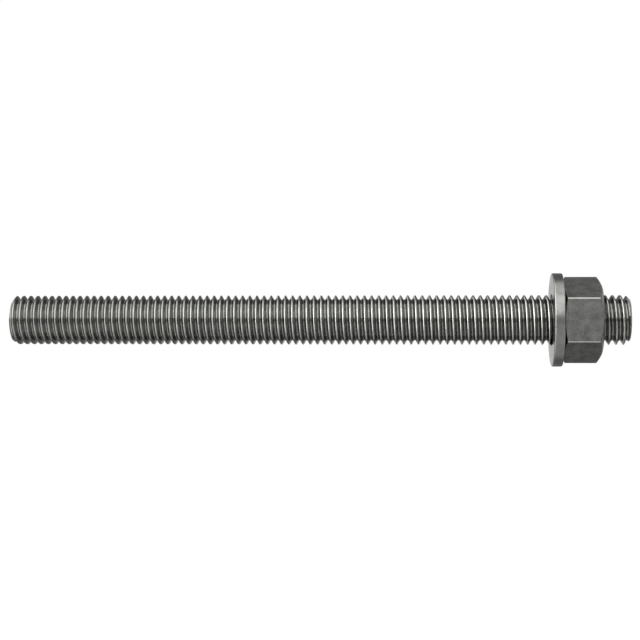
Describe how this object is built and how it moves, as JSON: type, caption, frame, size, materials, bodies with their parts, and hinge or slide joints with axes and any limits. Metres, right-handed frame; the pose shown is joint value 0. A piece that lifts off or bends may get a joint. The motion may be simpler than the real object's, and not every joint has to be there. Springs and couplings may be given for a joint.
{
  "type": "chemical anchor rod",
  "caption": "Fully threaded anchor rod with a flat washer and a hexagon nut near its outer end, for bonding into a drilled hole.",
  "frame": {"origin": "centre of the rod's end face that goes into the wall", "axes": "+X along the rod's axis towards the nut's end, +Z through a corner of the nut"},
  "size_m": [0.15, 0.0226, 0.0224],
  "materials": {
    "rod_steel": "dull zinc plate over a rolled thread",
    "washer_steel": "dull zinc plate, punched",
    "nut_steel": "dull zinc plate, forged"
  },
  "bodies": {
    "rod": {"threaded_rod": "rod_steel"},
    "washer": {"flat_washer": "washer_steel"},
    "nut": {"hex_nut": "nut_steel"}
  },
  "joints": [
    {"name": "nut_turn", "type": "hinge", "parent": "washer", "child": "nut", "pos_m": [0.13395, 0, 0], "axis": [1, 0, 0], "range_deg": [-26740, 1388]},
    {"name": "washer_slide", "type": "slide", "parent": "rod", "child": "washer", "axis": [1, 0, 0], "range_m": [-0.13, 0.00675]}
  ],
  "couplings": [
    {"joint": "washer_slide", "follows": "nut_turn", "m_per_rad": 0.00027852}
  ]
}
